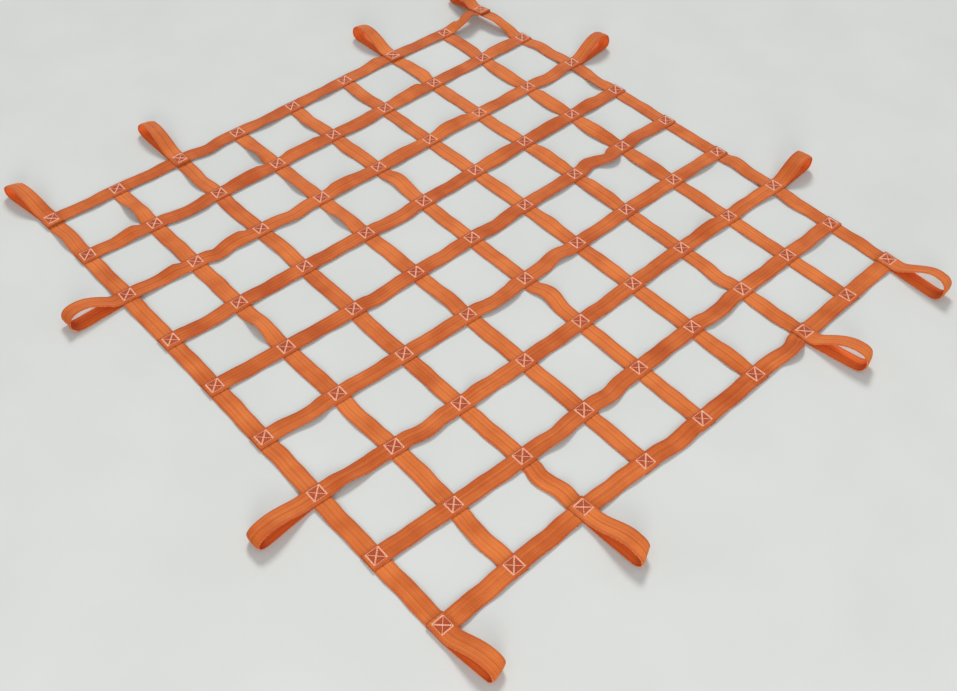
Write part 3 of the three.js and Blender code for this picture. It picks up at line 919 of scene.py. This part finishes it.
def webbing_material():
    """Ribbed woven webbing, worn at its edges, painted shade by its edges and seams, painted light in
    its eyes.
    """
    n = Nodes("webbing")
    across, along, tone = n.value("across"), n.value("along"), n.value("tone")
    aside = n.math("ABSOLUTE", across)
    from_seam = n.value("from_seam")
    beside_seam = n.math("ABSOLUTE", n.value("from_seam_line"))

    own = n.math("MULTIPLY", tone, MOTTLE_SPREAD)
    # Lightness of the ribs: the strap's tone, with its set's painted sheen, moved by the mottle
    light, mottle = tone, {}
    for kind in MOTTLE:
        scaled = n.math("MULTIPLY", across, kind.across), n.math("MULTIPLY", along, kind.along)
        mottle[kind.name] = n.noise(n.vector(*scaled, own), 1, kind.detail)
        change = n.math("SUBTRACT", mottle[kind.name], 0.5)
        light = n.math("ADD", light, n.math("MULTIPLY", change, kind.strength))
    grain = mottle["grain"]
    colour = n.blend(n.ramp(light, 0, 1), DEEP_ORANGE, BRIGHT_ORANGE)

    from_line = {"centre": aside, "quarter": n.apart(aside, QUARTER_PLACE)}
    lines = [n.math("MULTIPLY", n.ramp(away, *FADES[name]), LINE_DARK[name])
             for name, away in from_line.items()]
    worn = n.math("MULTIPLY", n.ramp(aside, *FADES["worn_edge"]), n.ramp(grain, *FADES["worn_grain"]))
    # Painted shade inside each sewn box; the same box also bounds where the webbing puffs
    sewn = n.math("MULTIPLY", n.ramp(beside_seam, *FADES["sewn"]), n.ramp(from_seam, *FADES["sewn"]))
    shares = {
        "fresh": n.value("fresh"),
        "line": n.math("MAXIMUM", *lines),
        # Painted shade towards the edges
        "selvedge": n.ramp(aside, *FADES["selvedge"]),
        "worn": worn,
        "sewn": sewn,
        "sealed": n.ramp(n.value("from_end"), *FADES["sealed"]),
    }
    for tint in TINTS:
        colour = n.blend(n.math("MULTIPLY", shares[tint.name], tint.strength), colour, tint.colour)

    rib = n.math("MULTIPLY", across, 1 / RIB_PITCH)
    ribs = n.math("ABSOLUTE", n.math("SINE", n.math("MULTIPLY", rib, math.pi)))
    offset = n.math("MULTIPLY", n.math("FLOOR", rib), math.pi)
    picks = n.math("SINE", n.math("ADD", n.math("MULTIPLY", along, 2 * math.pi / PICK_PITCH), offset))
    weave = n.math("MULTIPLY", ribs, n.math("MULTIPLY_ADD", picks, PICK_SHARE, 1 - PICK_SHARE))
    normal = n.bump(weave, "weave")

    from_box = n.math("MINIMUM", n.apart(beside_seam, BOX_HALF), n.apart(from_seam, BOX_HALF))
    from_cross = n.math("MULTIPLY", n.apart(beside_seam, from_seam), math.sqrt(0.5))
    from_stitch = n.math("MINIMUM", from_box, from_cross)
    puffed = n.math("MULTIPLY", n.ramp(from_stitch, *FADES["puffed"]), sewn)
    normal = n.bump(puffed, "puffed", normal)

    roughness = n.math("MULTIPLY_ADD", grain, *ROUGHNESS["webbing"])
    return n.finish({"Base Color": colour, "Roughness": roughness, "Normal": normal, **WEBBING_GLOSS})


def thread_material():
    """Pale twisted thread, each stitch a little lighter or darker."""
    n = Nodes("thread")
    twist = n.math("SINE", n.math("MULTIPLY", n.value("twist"), 2 * math.pi / PLY_LENGTH))
    ply = n.math("MULTIPLY_ADD", twist, 0.5, 0.5)
    colour = n.blend(n.value("tone"), *THREAD_COLOURS)
    colour = n.blend(n.math("MULTIPLY", n.ramp(ply, *PLY_FADE), PLY_SHADE), colour, PLY_COLOUR)
    normal = n.bump(ply, "ply")
    roughness = n.math("MULTIPLY_ADD", ply, *ROUGHNESS["thread"])
    looks = {"Base Color": colour, "Roughness": roughness, "Normal": normal}
    return n.finish({**looks, "Sheen Weight": THREAD_SHEEN})


def floor_material():
    """Plain pale floor with a faint mottle."""
    n = Nodes("floor")
    place = n.add("ShaderNodeTexCoord", {}, "Object")
    colour = n.blend(n.noise(place, *FLOOR_MOTTLE), *FLOOR_COLOURS)
    return n.finish({"Base Color": colour, "Roughness": FLOOR_ROUGHNESS})


def add_floor():
    """A square of floor just under the net."""
    half = FLOOR_HALF
    corners = [(-half, -half), (half, -half), (half, half), (-half, half)]
    mesh = bpy.data.meshes.new("floor")
    mesh.from_pydata([(x, y, -FLOOR_DROP * MM) for x, y in corners], [], [(0, 1, 2, 3)])
    mesh.materials.append(floor_material())
    floor = bpy.data.objects.new("floor", mesh)
    bpy.context.scene.collection.objects.link(floor)
    return floor


def add_camera():
    """The photograph's camera, rolled a little about its line of sight."""
    data = bpy.data.cameras.new("camera")
    data.sensor_width = SENSOR_WIDTH
    data.lens = FOCAL_PIXELS * SENSOR_WIDTH / PHOTO_WIDTH
    camera = bpy.data.objects.new("camera", data)
    forward = (Vector(CAMERA_TARGET) - Vector(CAMERA_PLACE)).normalized()
    level = forward.cross(Vector((0, 0, 1))).normalized()
    roll = math.radians(CAMERA_ROLL)
    right = level * math.cos(roll) + level.cross(forward) * math.sin(roll)
    up = right.cross(forward)
    turn = Matrix((right, up, -forward)).transposed().to_4x4()
    camera.matrix_world = Matrix.Translation(CAMERA_PLACE) @ turn
    bpy.context.scene.collection.objects.link(camera)
    bpy.context.scene.camera = camera


def add_light(name, kind, place, power, size):
    """A light aimed at the net's middle."""
    data = bpy.data.lights.new(name, kind)
    data.energy = power
    if kind == "SUN":
        data.angle = math.radians(size)
    else:
        data.size = size
    light = bpy.data.objects.new(name, data)
    light.location = place
    light.rotation_mode = "QUATERNION"
    light.rotation_quaternion = (-Vector(place)).to_track_quat("-Z", "Y")
    bpy.context.scene.collection.objects.link(light)


def add_lights():
    """A broad key light from behind, two soft fills from the front, one of them low, and an even sky."""
    for light in LIGHTS:
        add_light(*light)
    world = bpy.data.worlds.new("studio")
    world.use_nodes = True
    background = world.node_tree.nodes["Background"]
    background.inputs["Color"].default_value = SKY_COLOUR
    background.inputs["Strength"].default_value = SKY_STRENGTH
    bpy.context.scene.world = world
    bpy.context.scene.view_settings.view_transform = "Standard"


def add_net(floor):
    """All straps and seams; the floor that they lie on is passed in but not used."""
    webbing, thread = webbing_material(), thread_material()
    for index in range(CELLS + 1):
        strap, length = add_strap("L", index, webbing)
        sewing = add_sewing(index, thread)
    for index in range(CELLS + 1):
        strap, length = add_strap("C", index, webbing)


add_camera()
add_lights()
add_net(add_floor())
